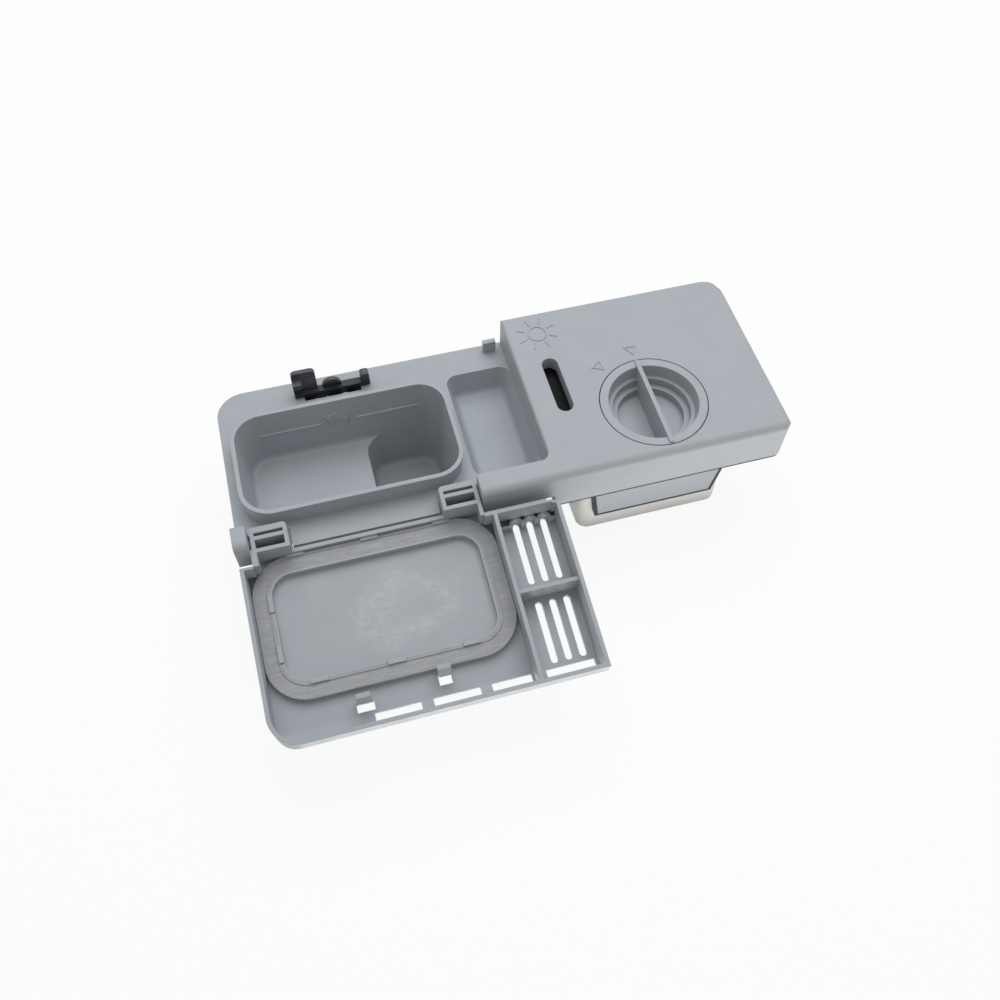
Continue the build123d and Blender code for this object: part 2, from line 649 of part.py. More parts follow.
def knuckle(x, pin_side):
    """Open box at the hinge: round front edge, a slit behind its front bar and a pin on its outer side."""
    back = RAIL_Y + LID_WALL
    side = slice_of([(KNUCKLE_FRONT, LID_RIM_Z), (KNUCKLE_FRONT, BLOCK_H), (back, BLOCK_H), (back, LID_RIM_Z)],
                    [((KNUCKLE_FRONT, BLOCK_H), KNUCKLE_EDGE_R)])
    inner_x = (x[0] + LID_WALL, x[1] - LID_WALL)
    slit_y = (KNUCKLE_FRONT + KNUCKLE_FRONT_T, KNUCKLE_FRONT + KNUCKLE_FRONT_T + KNUCKLE_SLIT)
    room_y = (slit_y[1] + KNUCKLE_BAR_T, RAIL_Y)
    body = along_x(side, x)
    body -= box(inner_x, slit_y, (LID_RIM_Z, LID_IN_Z - KNUCKLE_EDGE_R / 2))
    body -= box(inner_x, room_y, (LID_RIM_Z, LID_IN_Z))
    corner = (x[1] if pin_side < 0 else x[0], KNUCKLE_FRONT)
    plan = slice_of([(x[0], KNUCKLE_FRONT), (x[1], KNUCKLE_FRONT), (x[1], back), (x[0], back)],
                    [(corner, KNUCKLE_CORNER_R)])
    body &= upright(plan, (LID_RIM_Z, BLOCK_H))
    pin_x = (x[0] - HINGE_PIN_L, x[0] + LID_WALL) if pin_side < 0 else (x[1] - LID_WALL, x[1] + HINGE_PIN_L)
    return body + rod_x(HINGE_PIN_R, pin_x, HINGE_Y, HINGE_Z)


def gasket_plan(grow):
    x = (GASKET_X[0] - grow, GASKET_X[1] + grow)
    y = (GASKET_Y[0] - grow, GASKET_Y[1] + grow)
    return rounded(x, y, GASKET_R + grow)


def gasket_keeper():
    """Low wall inside the gasket, with tabs over the gasket's edges on the rail and on the wall."""
    low = GASKET_Z - GASKET_TAB_T
    wall = gasket_plan(-GASKET_W) - gasket_plan(-GASKET_W - KEEPER_T)
    tabs = gasket_plan(GASKET_TAB_REACH - GASKET_W) - gasket_plan(-GASKET_W - KEEPER_T)
    zone = Sketch()
    for x in GASKET_TABS_X:
        zone += Pos(x, WIDTH) * Rectangle(GASKET_TAB_L, WIDTH)
    for y in GASKET_TABS_Y:
        zone += Pos(GASKET_X[0], y) * Rectangle(4 * GASKET_W, GASKET_TAB_L)
    posts = upright(wall & zone, (low, GASKET_Z))
    tabs &= zone
    for x in GASKET_TABS_X:
        rail_tab = (RAIL_Y + LID_WALL / 2, GASKET_Y[0] + GASKET_TAB_REACH)
        tabs += rounded((x - GASKET_TAB_L / 2, x + GASKET_TAB_L / 2), rail_tab, GASKET_TAB_REACH / 2)
    return upright(wall, (GASKET_Z, LID_IN_Z)) + posts + upright(tabs, (low, GASKET_Z - GASKET_TAB_GAP))


def hook(x, tip_y, lip, stem_t):
    """Post on the lid's panel with a lip towards the back edge."""
    stem_y = tip_y - lip
    points = [(stem_y - stem_t, HOOK_LIP_Z[0]), (stem_y, HOOK_LIP_Z[0]), (tip_y, HOOK_LIP_Z[1] - HOOK_LIP_EDGE),
              (tip_y, HOOK_LIP_Z[1]), (stem_y, HOOK_LIP_Z[1]), (stem_y, LID_IN_Z), (stem_y - stem_t, LID_IN_Z)]
    return along_x(slice_of(points), x)


def lid_hooks():
    """Catch for the latch's nose, and the striker in front of its finger."""
    striker_tip = STRIKER_Y + HOOK_T + STRIKER_LIP
    return hook(HOOK_X, HOOK_LIP_Y, HOOK_LIP, HOOK_T) + hook(STRIKER_X, striker_tip, STRIKER_LIP, HOOK_T)


def lid_cuts():
    through = (LID_IN_Z - LID_FAR_R, BLOCK_H)
    hole_x = (HOOK_X[0] - HOOK_HOLE_ROOM / 2, HOOK_X[1] + HOOK_HOLE_ROOM / 2)
    cut = box(hole_x, (HOOK_LIP_Y - HOOK_LIP, HOOK_LIP_Y + HOOK_HOLE_ROOM), (LID_IN_Z, BLOCK_H))
    striker_y = STRIKER_Y + HOOK_T
    cut += box(STRIKER_X, (striker_y, striker_y + STRIKER_LIP + HOOK_HOLE_ROOM), (LID_IN_Z, BLOCK_H))
    for x in FAR_SLOTS:
        cut += box(x, (WIDTH - FAR_SLOT_INSET[0], WIDTH - FAR_SLOT_INSET[1]), through)
    for x in VENT_X:
        for y0, y1 in VENT_ROWS:
            cut += upright(Pos(x, (y0 + y1) / 2) * Rot(0, 0, 90) * SlotOverall(y1 - y0, VENT_W), through)
    paddle_back = LATCH_BACK_Y + LATCH_PADDLE_LEAN
    paddle_x = (LATCH_PADDLE_X[0] - LATCH_FIT, LATCH_PADDLE_X[1] + LATCH_FIT)
    paddle_y = (LATCH_BACK_Y - LATCH_PADDLE_T, paddle_back + LATCH_FIT)
    cut += box(paddle_x, paddle_y, (through[0], LATCH_PADDLE_Z + LATCH_FIT))
    cut += box((KNUCKLE_L[1], KNUCKLE_R[0]), (RAIL_Y, RAIL_Y + LID_WALL), (LID_RIM_Z, RAIL_RIM_Z))
    return cut


def lid_closed():
    body = lid_main() - lid_pan() - lid_vent_room() - lid_cuts()
    body += knuckle(KNUCKLE_L, -1) + knuckle(KNUCKLE_R, 1)
    body += gasket_keeper() + lid_hooks() + shoulder_links()
    clear = swing_clear(0) - rod_x(HINGE_PIN_R, (0, LENGTH), HINGE_Y, HINGE_Z)
    return body - clear


def lid_gasket():
    ring = upright(gasket_plan(0) - gasket_plan(-GASKET_W), (GASKET_Z, LID_IN_Z))
    groove = gasket_plan(-GASKET_LIP_W) - gasket_plan(GASKET_LIP_W - GASKET_W)
    return ring - upright(groove, (GASKET_Z, GASKET_Z + GASKET_LIP))


def opened(part):
    return part.rotate(HINGE, OPEN_DEG)


# Latch

def round_top(x, z, r):
    """Front view of an upright tab with round top corners."""
    return slice_of([(x[0], z[0]), (x[1], z[0]), (x[1], z[1]), (x[0], z[1])],
                    [((x[0], z[1]), r), ((x[1], z[1]), r)])


def latch_lever():
    thick = (LATCH_FRONT_Y, LATCH_BACK_Y)
    low, top = LATCH_BAR_Z
    body = rod_x(LATCH_HUB_R, LATCH_ARM_X, LATCH_Y, LATCH_Z)
    body += box(LATCH_ARM_X, thick, (LATCH_FOOT_Z[1], top))
    bar = [(LATCH_BAR_X[0], low), (LATCH_BODY_X[0], low), (LATCH_BODY_X[0], LATCH_BODY_Z),
           (LATCH_BODY_X[1], LATCH_BODY_Z), (LATCH_BODY_X[1] + LATCH_BODY_SLANT, low), (LATCH_BAR_X[1], low),
           (LATCH_BAR_X[1], top), (LATCH_BAR_X[0], top)]
    body += along_y(slice_of(bar), thick)
    body += latch_paddle() + latch_foot()
    finger_x = (LATCH_BAR_X[1] - LATCH_FINGER_W, LATCH_BAR_X[1])
    body += along_y(round_top(finger_x, (low, LATCH_FINGER_Z), LATCH_FINGER_R), thick)
    bump = rod_y(LATCH_BUMP_R, LATCH_BUMP_X, (LATCH_BACK_Y - LATCH_BUMP_T, LATCH_BACK_Y), top)
    body += bump & box(LATCH_BAR_X, thick, (low, top + LATCH_BUMP_R))
    return body - rod_x(LATCH_PIN_R + LATCH_PIN_GAP, LATCH_ARM_X, LATCH_Y, LATCH_Z)


def latch_paddle():
    """Thumb paddle that leans back over the bar, with the nose that catches the lid's hook."""
    foot_z = LATCH_BAR_Z[0]
    y0 = LATCH_BACK_Y - LATCH_PADDLE_T
    lean = LATCH_PADDLE_LEAN
    side = slice_of([(y0, foot_z), (LATCH_BACK_Y, foot_z), (LATCH_BACK_Y, LATCH_BAR_Z[1]),
                     (LATCH_BACK_Y + lean, LATCH_PADDLE_KNEE), (LATCH_BACK_Y + lean, LATCH_PADDLE_Z),
                     (y0 + lean, LATCH_PADDLE_Z), (y0 + lean, LATCH_PADDLE_KNEE), (y0, LATCH_BAR_Z[1])])
    face = round_top(LATCH_PADDLE_X, (foot_z, LATCH_PADDLE_Z), LATCH_PADDLE_R)
    paddle = along_x(side, LATCH_PADDLE_X) & along_y(face, (y0, LATCH_BACK_Y + lean))
    nose_x = (LATCH_PADDLE_X[0], LATCH_PADDLE_X[0] + LATCH_NOSE_W)
    return paddle + box(nose_x, (LATCH_FRONT_Y, LATCH_BACK_Y), (LATCH_NOSE_Z, LATCH_NOSE_Z + LATCH_NOSE_H))


def latch_foot():
    """Foot of the lever, forked round the plunger's rod."""
    thick = (LATCH_FRONT_Y, LATCH_BACK_Y)
    fork = ROD_R + ROD_GAP
    cut = box((COIL_X - fork, COIL_X + fork), thick, (LATCH_FOOT_Z[0], COIL_Z + fork))
    return box(LATCH_FOOT_X, thick, LATCH_FOOT_Z) - cut


def latch_pin():
    x0 = LATCH_ARM_X[0] - CHEEK_GAP - CHEEK_T
    x1 = LATCH_ARM_X[1] + SPRING_L + 2 * CHEEK_GAP + CHEEK_T
    return rod_x(LATCH_PIN_R, (x0, x1), LATCH_Y, LATCH_Z)


def latch_spring():
    r = LATCH_PIN_R + SPRING_WIRE_R + SPRING_GAP
    turns = coil(r, SPRING_L - 2 * SPRING_WIRE_R, SPRING_PITCH)
    start = LATCH_ARM_X[1] + CHEEK_GAP + SPRING_WIRE_R
    return Pos(start, LATCH_Y, LATCH_Z) * Rot(0, 90, 0) * turns


# Cap

def rinse_cap():
    floor_z = BLOCK_H - CAP_DEPTH
    rings = [(0, floor_z - CAP_SKIN), (CAP_SKIRT_R, floor_z - CAP_SKIN), (CAP_SKIRT_R, CAP_UNDER_Z),
             (CAP_R, CAP_UNDER_Z), (CAP_R, BLOCK_H), (CAP_MOUTH_R, BLOCK_H),
             (CAP_MOUTH_R - CAP_BOWL_DRAFT, floor_z + 2 * CAP_STEP_H),
             (CAP_STEP_R[0], floor_z + 2 * CAP_STEP_H),
             (CAP_STEP_R[0], floor_z + CAP_STEP_H), (CAP_STEP_R[1], floor_z + CAP_STEP_H),
             (CAP_STEP_R[1], floor_z), (0, floor_z)]
    body = revolve(Plane.XZ * slice_of(rings), Axis.Z)
    half_t = CAP_BLADE_T / 2
    body += box((-half_t, half_t), (-CAP_MOUTH_R, CAP_MOUTH_R), (floor_z, BLOCK_H))
    reach = CAP_R - CAP_BLADE_INSET
    body += box((-half_t, half_t), (-reach, reach), (CAP_UNDER_Z, BLOCK_H + CAP_BLADE_RISE))
    lug_z = (NECK_Z - SEAL_GAP - LUG_H, NECK_Z - SEAL_GAP)
    lug = ring_z(CAP_SKIRT_R + LUG_REACH, CAP_SKIRT_R - LUG_ROOT, 0, 0, lug_z)
    body += lug & box((-LENGTH, LENGTH), (-LUG_ARC_W / 2, LUG_ARC_W / 2), lug_z)
    return Pos(CAP_X, CAP_Y) * body


def cap_seal():
    z = (CAP_UNDER_Z - CAP_SEAL_T, CAP_UNDER_Z)
    return ring_z(CAP_R - CAP_SEAL_INSET, CAP_SKIRT_R + SEAL_GAP, CAP_X, CAP_Y, z)


# Release solenoid

def solenoid_bobbin():
    body = rod_y(BOBBIN_R, COIL_X, COIL_Y, COIL_Z)
    for y in (COIL_Y[0], COIL_Y[1] - BOBBIN_FLANGE_T):
        body += rod_y(BOBBIN_FLANGE_R, COIL_X, (y, y + BOBBIN_FLANGE_T), COIL_Z)
    return body - rod_y(BOBBIN_BORE_R, COIL_X, COIL_Y, COIL_Z)


def solenoid_coil():
    y = (COIL_Y[0] + BOBBIN_FLANGE_T, COIL_Y[1] - BOBBIN_FLANGE_T)
    return rod_y(COIL_R, COIL_X, y, COIL_Z) - rod_y(BOBBIN_R, COIL_X, y, COIL_Z)


def solenoid_yoke():
    y = (COIL_Y[0] - YOKE_T, COIL_Y[1] + YOKE_T)
    z = (YOKE_LOW_Z, YOKE_TOP_Z)
    body = box((YOKE_X, YOKE_X + YOKE_T), y, z)
    for y0 in (y[0], y[1] - YOKE_T):
        body += box((YOKE_X, COIL_X + BOBBIN_FLANGE_R), (y0, y0 + YOKE_T), z)
    ear_z = SHALLOW_UNDER_Z - YOKE_BOSS_H
    body += box((YOKE_EAR_X, YOKE_X), y, (ear_z - YOKE_T, ear_z))
    for hole_y in YOKE_SCREW_Y:
        body -= rod_z(SCREW_R + SCREW_HOLE_GAP, YOKE_SCREW_X, hole_y, (ear_z - YOKE_T, ear_z))
    body -= rod_y(BOBBIN_BORE_R, COIL_X, y, COIL_Z)
    for x in spade_places():
        reach = SPADE_W / 2 + SPADE_SLOT_GAP
        body -= box((x - reach, x + reach), (y[0], COIL_Y[0]), spade_z(SPADE_SLOT_GAP))
    return body


def spade_places():
    return (COIL_X - SPADE_PITCH / 2, COIL_X + SPADE_PITCH / 2)


def spade_z(grow):
    z = COIL_Z - SPADE_DROP
    return (z - SPADE_T / 2 - grow, z + SPADE_T / 2 + grow)


def coil_terminals():
    spades = []
    half = SPADE_W / 2
    y0 = COIL_Y[0] - YOKE_T - SPADE_L
    for x in spade_places():
        blade = slice_of([(x - half + SPADE_TIP, y0), (x + half - SPADE_TIP, y0), (x + half, y0 + SPADE_TIP_L),
                          (x + half, COIL_Y[0]), (x - half, COIL_Y[0]), (x - half, y0 + SPADE_TIP_L)])
        spades.append(upright(blade, spade_z(0)))
    return Compound(children=spades)


def yoke_screws():
    z = SHALLOW_UNDER_Z - YOKE_BOSS_H - YOKE_T
    screws = []
    for y in YOKE_SCREW_Y:
        screw = rod_z(SCREW_R, YOKE_SCREW_X, y, (z, z + SCREW_L))
        head = rod_z(SCREW_HEAD_R, YOKE_SCREW_X, y, (z - SCREW_HEAD_H, z))
        slot_x = (YOKE_SCREW_X - SCREW_SLOT_W / 2, YOKE_SCREW_X + SCREW_SLOT_W / 2)
        head -= box(slot_x, (y - SCREW_HEAD_R, y + SCREW_HEAD_R),
                    (z - SCREW_HEAD_H, z - SCREW_HEAD_H / 2))
        screws.append(screw + head)
    return Compound(children=screws)


def plunger():
    """Armature with a rod through the latch's fork and a head behind it."""
    head_y = LATCH_BACK_Y + ROD_HEAD_GAP
    body = rod_y(ARMATURE_R, COIL_X, ARMATURE_Y, COIL_Z) + rod_y(ROD_R, COIL_X, (ARMATURE_Y[1], head_y), COIL_Z)
    return body + rod_y(ROD_HEAD_R, COIL_X, (head_y, head_y + ROD_HEAD_T), COIL_Z)


# Dosing linkage

def transfer_lever():
    z = (LEVER_Z - LEVER_T / 2, LEVER_Z + LEVER_T / 2)
    half = LEVER_BAR_W / 2
    tip_y = LATCH_BACK_Y + ROD_GAP
    left = slice_of([(LEVER_TIP_X[0], tip_y), (LEVER_TIP_X[1], tip_y), (LEVER_X, LEVER_Y - half),
                     (LEVER_X, LEVER_Y + half), (LEVER_TIP_X[0], tip_y + LEVER_TIP_W)])
    head_y = VALVE_Y[1] + VALVE_LIFT + VALVE_HEAD_T + ROD_GAP
    x1 = VALVE_X + VALVE_HEAD_R / 2
    right = slice_of([(LEVER_X, LEVER_Y - half), (VALVE_X - VALVE_HEAD_R, head_y), (x1, head_y),
                      (x1, head_y + LEVER_TIP_W), (LEVER_X, LEVER_Y + half)])
    body = upright(left + right + Pos(LEVER_X, LEVER_Y) * Circle(LEVER_HUB_R), z)
    return body - rod_z(LEVER_PIN_R + LEVER_PIN_GAP, LEVER_X, LEVER_Y, z)


def lever_pin():
    low = LEVER_Z - LEVER_T / 2 - SEAL_GAP
    pin = rod_z(LEVER_PIN_R, LEVER_X, LEVER_Y, (low, -PLATE_T - LEVER_PIN_TOP))
    return pin + rod_z(LEVER_HEAD_R, LEVER_X, LEVER_Y, (low - LEVER_HEAD_H, low))


def valve_stem():
    head_y = VALVE_Y[1] + VALVE_LIFT
    stem = rod_y(VALVE_STEM_R, VALVE_X, (VALVE_Y[1] - VALVE_STEM_L, head_y), LEVER_Z)
    return stem + rod_y(VALVE_HEAD_R, VALVE_X, (head_y, head_y + VALVE_HEAD_T), LEVER_Z)


def valve_spring():
    length = VALVE_LIFT - 2 * SPRING_WIRE_R - 2 * SPRING_GAP
    turns = coil(VALVE_STEM_R + SPRING_WIRE_R + VALVE_SPRING_GAP, length, VALVE_SPRING_PITCH)
    return Pos(VALVE_X, VALVE_Y[1] + SPRING_WIRE_R + SPRING_GAP, LEVER_Z) * Rot(-90, 0, 0) * turns


def valve_seal():
    y = (VALVE_Y[1] - VALVE_SEAL_T, VALVE_Y[1])
    return rod_y(VALVE_SEAL_R, VALVE_X, y, LEVER_Z) - rod_y(VALVE_STEM_R + VALVE_GAP, VALVE_X, y, LEVER_Z)


NODES = {
    "housing": housing,
    "door_seal": door_seal,
    "tank_shell": tank_shell,
    "apron_seal": apron_seal,
    "level_window": level_window,
    "lid": lambda: opened(lid_closed()),
    "lid_gasket": lambda: opened(lid_gasket()),
    "latch_lever": latch_lever,
    "latch_pin": latch_pin,
    "latch_spring": latch_spring,
    "rinse_cap": rinse_cap,
    "cap_seal": cap_seal,
    "solenoid_bobbin": solenoid_bobbin,
    "solenoid_coil": solenoid_coil,
    "solenoid_yoke": solenoid_yoke,
    "coil_terminals": coil_terminals,
    "yoke_screws": yoke_screws,
    "plunger": plunger,
    "transfer_lever": transfer_lever,
    "lever_pin": lever_pin,
    "valve_stem": valve_stem,
    "valve_spring": valve_spring,
    "valve_seal": valve_seal,
}

os.makedirs(OUT, exist_ok=True)
for name, make in NODES.items():
    export_step(TO_SEAT * make(), f"{OUT}/{name}.step")
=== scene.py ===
"""Looks of a dishwasher detergent dispenser: finishes, marks, small pieces, camera and light.

Places are given in the face frame, in millimetres: x from the left edge of the face plate, y from its
front (hinge) edge, z up from the plate's face. face_point() turns them into the frame's metres.
"""
import bpy
import json
import math
from mathutils import Matrix, Vector


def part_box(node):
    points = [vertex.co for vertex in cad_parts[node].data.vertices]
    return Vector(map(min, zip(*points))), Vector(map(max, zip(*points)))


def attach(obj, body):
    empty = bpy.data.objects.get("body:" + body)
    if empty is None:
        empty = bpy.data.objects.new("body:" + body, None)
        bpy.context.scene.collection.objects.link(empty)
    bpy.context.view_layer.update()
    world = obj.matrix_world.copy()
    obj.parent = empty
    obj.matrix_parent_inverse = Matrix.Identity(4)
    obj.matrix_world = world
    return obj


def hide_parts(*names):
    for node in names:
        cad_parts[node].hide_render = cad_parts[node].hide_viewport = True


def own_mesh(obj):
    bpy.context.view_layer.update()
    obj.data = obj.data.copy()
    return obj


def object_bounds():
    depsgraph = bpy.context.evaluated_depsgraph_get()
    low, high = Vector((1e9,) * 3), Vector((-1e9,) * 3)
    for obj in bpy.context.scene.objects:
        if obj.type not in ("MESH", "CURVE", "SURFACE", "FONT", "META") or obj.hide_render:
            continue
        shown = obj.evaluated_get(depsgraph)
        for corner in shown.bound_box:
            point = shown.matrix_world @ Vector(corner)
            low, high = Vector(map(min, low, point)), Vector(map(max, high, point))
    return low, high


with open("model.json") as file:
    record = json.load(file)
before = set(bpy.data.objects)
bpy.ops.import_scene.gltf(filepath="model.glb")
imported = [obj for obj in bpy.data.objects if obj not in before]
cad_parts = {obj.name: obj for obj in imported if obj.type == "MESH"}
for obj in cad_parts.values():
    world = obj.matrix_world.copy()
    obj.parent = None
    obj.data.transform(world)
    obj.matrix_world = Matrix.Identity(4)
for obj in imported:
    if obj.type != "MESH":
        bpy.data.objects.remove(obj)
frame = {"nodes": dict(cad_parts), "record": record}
cad_low, cad_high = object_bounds()

MM = 0.001
HAIR = 0.1 * MM
MERGE_DISTANCE = 0.001 * MM
SMOOTH_ANGLE = math.radians(30)
FLANGE_HEIGHT = 5.2
PLATE_CORNER = Vector((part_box("housing")[0].x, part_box("housing")[0].y, FLANGE_HEIGHT * MM))

# Faces that carry the moulded marks
BLOCK_TOP = 15.3
CUP_RIM = 9.6
CUP_BACK_WALL = 64.8
CUP_DRAFT = math.radians(5.0)

# Moulded marks on the block and in the cup
MARK_RISE = 0.3
WALL_MARK_RISE = 0.55
MARK_SOFTENING = 0.4
SUN_CENTRE = (141.7, 74.3)
SUN_DISC_R = 4.2
SUN_DISC_POINTS = 32
SUN_RAY = (5.4, 9.0)
SUN_RAYS = 8
CLOSED_MARK = (178.4, 55.6)
CLOSED_MARK_TURN = math.radians(180)
OPEN_MARK = (161.9, 50.3)
OPEN_MARK_TURN = math.radians(-144)
MARK_R = 3.4
MARK_LINE = 0.55
LEVEL_HEIGHT = -2.5
LEVEL_LINES = ((15.8, 42.5), (57.8, 85.0))
LEVEL_LINE_W = 0.8
LETTERS_X = (43.4, 54.8)
LETTER_HEIGHT = 8.6
LETTER_LINE = 0.3

# Ring that tablets rub into the lid's pan
SCUFF_CENTRE = (61.0, -28.0, -8.6)
SCUFF_SIZE = (21.0, 13.5, 12.0)

# Black rubber flaps under the latch's slot, painted shade that hides the floor below
FLAP_X = ((37.4, 40.0), (48.0, 53.4), (56.5, 63.4))
FLAP_Y = (74.8, 82.0)
FLAP_Z = (-2.8, -2.2)
FLAP_CORNER = 0.6
FLAP_LIP = 0.5
FLAP_DISH = 0.15

# Shell that closes the block's round back corner
CORNER_CENTRE = (218.0, 74.8)
CORNER_SHELL_R = 5.0
CORNER_SHELL_POINTS = 96
CORNER_SHELL_OUT = 7.55
CORNER_SHELL_ARC = math.radians(46)
CORNER_SHELL_T = 0.8
CORNER_SHELL_Z = (-5.15, 15.25)

# Camera and light
CAMERA_PLACE = (-0.07123, -0.24944, 0.35303)
CAMERA_RIGHT = Vector((0.9646, -0.2635, 0.0133))
CAMERA_UP = Vector((0.2158, 0.8171, 0.5345))
LENS = 36.28
SENSOR = 36.0
NEAREST_SEEN = 0.01
WHITE = (1, 1, 1, 1)
SKY_LEVEL = 0.42
SKY_SEEN = 0.96
FLOOR_SIZE = 6.0
FLOOR_WHITE = (0.96, 0.96, 0.96, 1)
FLOOR_GLOW = 0.9
BACK_SOFTBOX = {
    "place": (0.13, 0.34, 0.88),
    "aim": (0, 0, 0),
    "size": (1.1, 0.9),
    "power": 6.4,
    "tint": (0.96, 0.99, 1.0),
}
FLOOR_CARD = {
    "place": (0.12, -0.21, -0.0345),
    "aim": (0.12, -0.21, 1.0),
    "size": (0.46, 0.30),
    "power": 0.52,
    "tint": (1.0, 0.985, 0.96),
}

# Values that the finishes share
NOISE_SPAN = (0.3, 0.7)
BEVEL_SAMPLES = 4
EDGE_SHARPNESS = 0.3


def face_point(x, y, z):
    """Point of the face frame, in millimetres, as a place in the frame."""
    return PLATE_CORNER + Vector((x, y, z)) * MM


def nothing_selected():
    if bpy.context.object and bpy.context.object.mode != "OBJECT":
        bpy.ops.object.mode_set(mode="OBJECT")
    bpy.ops.object.select_all(action="DESELECT")


def only(piece):
    nothing_selected()
    bpy.context.view_layer.objects.active = piece
    piece.select_set(True)
    return piece


def place_in_mesh(piece):
    only(piece)
    bpy.ops.object.transform_apply(location=True, rotation=True, scale=True)
    return piece


def start_picking(kind):
    """Unselects all of the active mesh, so that code can pick its points, edges or faces."""
    bpy.ops.object.mode_set(mode="EDIT")
    bpy.ops.mesh.select_mode(type=kind)
    bpy.ops.mesh.select_all(action="DESELECT")
    bpy.ops.object.mode_set(mode="OBJECT")


# Finishes

class Finish:
    """Node material with helpers that keep each finish short."""

    def __init__(self, name):
        self.material = bpy.data.materials.new(name)
        self.material.use_nodes = True
        self.tree = self.material.node_tree
        self.tree.nodes.clear()
        self.output = self.add("ShaderNodeOutputMaterial")
        self.shader = self.add("ShaderNodeBsdfPrincipled")
        self.join(self.shader.outputs[0], self.output.inputs[0])
        self.place = self.add("ShaderNodeTexCoord").outputs["Object"]

    def add(self, kind, **settings):
        node = self.tree.nodes.new(kind)
        for key, value in settings.items():
            setattr(node, key, value)
        return node

    def join(self, start, end):
        self.tree.links.new(start, end)

    def noise(self, size_mm, detail, stretch=(1, 1, 1), rough=0.5):
        """Noise whose grains are about size_mm across."""
        mapping = self.add("ShaderNodeMapping")
        mapping.inputs["Scale"].default_value = stretch
        self.join(self.place, mapping.inputs["Vector"])
        node = self.add("ShaderNodeTexNoise")
        node.inputs["Scale"].default_value = 1 / (size_mm * MM)
        node.inputs["Detail"].default_value = detail
        node.inputs["Roughness"].default_value = rough
        self.join(mapping.outputs[0], node.inputs["Vector"])
        return node.outputs["Fac"]

    def far_from(self, centre, size_mm):
        """Distance from a place, in ellipsoid radii."""
        mapping = self.add("ShaderNodeMapping", vector_type="TEXTURE")
        mapping.inputs["Location"].default_value = centre
        mapping.inputs["Scale"].default_value = [side * MM for side in size_mm]
        self.join(self.place, mapping.inputs["Vector"])
        length = self.add("ShaderNodeVectorMath", operation="LENGTH")
        self.join(mapping.outputs[0], length.inputs[0])
        return length.outputs["Value"]

    def height(self, low, high):
        """Share that grows from one height of the face frame to another."""
        split = self.add("ShaderNodeSeparateXYZ")
        self.join(self.place, split.inputs[0])
        return self.spread(split.outputs["Z"], (low + FLANGE_HEIGHT) * MM, (high + FLANGE_HEIGHT) * MM)

    def facing_up(self):
        """Share that is full on faces turned up in the rest pose and nothing below them."""
        split = self.add("ShaderNodeSeparateXYZ")
        self.join(self.add("ShaderNodeTexCoord").outputs["Normal"], split.inputs[0])
        return self.spread(split.outputs["Z"], 0.2, 0.6)

    def edges(self, round_mm):
        """Share that is full along edges and nothing on open faces."""
        soft = self.add("ShaderNodeBevel", samples=BEVEL_SAMPLES)
        soft.inputs["Radius"].default_value = round_mm * MM
        along = self.add("ShaderNodeVectorMath", operation="DOT_PRODUCT")
        self.join(soft.outputs[0], along.inputs[0])
        self.join(self.add("ShaderNodeNewGeometry").outputs["Normal"], along.inputs[1])
        return self.spread(along.outputs["Value"], 1.0, 1.0 - EDGE_SHARPNESS)

    def spread(self, value, low, high, to_low=0.0, to_high=1.0):
        node = self.add("ShaderNodeMapRange")
        node.inputs["From Min"].default_value = low
        node.inputs["From Max"].default_value = high
        node.inputs["To Min"].default_value = to_low
        node.inputs["To Max"].default_value = to_high
        self.join(value, node.inputs["Value"])
        return node.outputs["Result"]

    def blend(self, share, first, second):
        """Colour between two colours, each a colour or a socket."""
        node = self.add("ShaderNodeMix", data_type="RGBA")
        self.join(share, node.inputs["Factor"])
        for value, socket in ((first, node.inputs["A"]), (second, node.inputs["B"])):
            if isinstance(value, tuple):
                socket.default_value = (*value, 1.0)
            else:
                self.join(value, socket)
        return node.outputs["Result"]

    def times(self, first, second):
        node = self.add("ShaderNodeMath", operation="MULTIPLY")
        for value, socket in ((first, node.inputs[0]), (second, node.inputs[1])):
            if isinstance(value, float):
                socket.default_value = value
            else:
                self.join(value, socket)
        return node.outputs[0]

    def plus(self, first, second):
        node = self.add("ShaderNodeMath", operation="ADD")
        self.join(first, node.inputs[0])
        self.join(second, node.inputs[1])
        return node.outputs[0]

    def colour(self, socket):
        self.join(socket, self.shader.inputs["Base Color"])

    def roughness(self, value, low, high):
        self.join(self.spread(value, *NOISE_SPAN, low, high), self.shader.inputs["Roughness"])

    def grain(self, value, depth_mm, round_mm):
        """Bump of the surface's grain, over edges that look rounded."""
        bump = self.add("ShaderNodeBump")
        bump.inputs["Strength"].default_value = 1.0
        bump.inputs["Distance"].default_value = depth_mm * MM
        self.join(value, bump.inputs["Height"])
        edge = self.add("ShaderNodeBevel", samples=BEVEL_SAMPLES)
        edge.inputs["Radius"].default_value = round_mm * MM
        self.join(edge.outputs[0], bump.inputs["Normal"])
        self.join(bump.outputs[0], self.shader.inputs["Normal"])

    def settings(self, **values):
        for key, value in values.items():
            self.shader.inputs[key.replace("_", " ")].default_value = value
        return self.material


